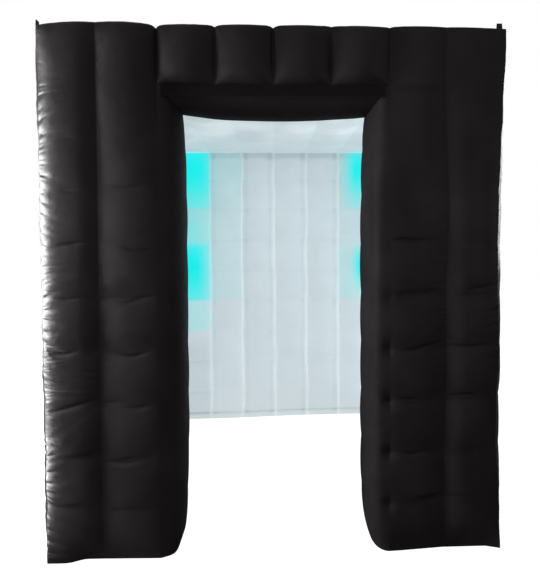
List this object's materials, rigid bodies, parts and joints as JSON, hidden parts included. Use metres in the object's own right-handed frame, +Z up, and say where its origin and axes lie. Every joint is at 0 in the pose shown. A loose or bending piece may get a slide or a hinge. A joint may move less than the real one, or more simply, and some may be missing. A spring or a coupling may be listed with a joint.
{
  "type": "inflatable photo booth",
  "caption": "Walk-in inflatable photo booth: a cube of quilted black cloth with a white lining, blown double walls and a round-edged doorway.",
  "frame": {"origin": "on the floor under the middle of the booth", "axes": "+Z up, the doorway faces -Y, +X to the right as seen from the front"},
  "size_m": [2.196, 2.196, 2.448],
  "materials": {
    "black_cloth": "coated woven cloth, slight sheen",
    "white_cloth": "matt woven cloth",
    "hook_tape": "matt pile",
    "webbing": "woven webbing"
  },
  "bodies": {
    "root": {"front_left_panel": "black_cloth", "front_right_panel": "black_cloth", "front_header": "black_cloth", "left_side_panel": "black_cloth", "right_side_panel": "black_cloth", "back_panel": "black_cloth", "roof_panel": "black_cloth", "left_jamb_roll": "black_cloth", "right_jamb_roll": "black_cloth", "lintel_roll": "black_cloth", "left_base": "black_cloth", "right_base": "black_cloth", "back_base": "black_cloth", "front_left_base": "black_cloth", "front_right_base": "black_cloth", "back_lining": "white_cloth", "left_lining": "white_cloth", "right_lining": "white_cloth", "front_left_lining": "white_cloth", "front_right_lining": "white_cloth", "ceiling_lining": "white_cloth", "banner_tape": "hook_tape", "front_right_tab": "webbing", "back_right_tab": "webbing", "back_left_tab": "webbing", "front_left_tab": "webbing"}
  },
  "joints": []
}
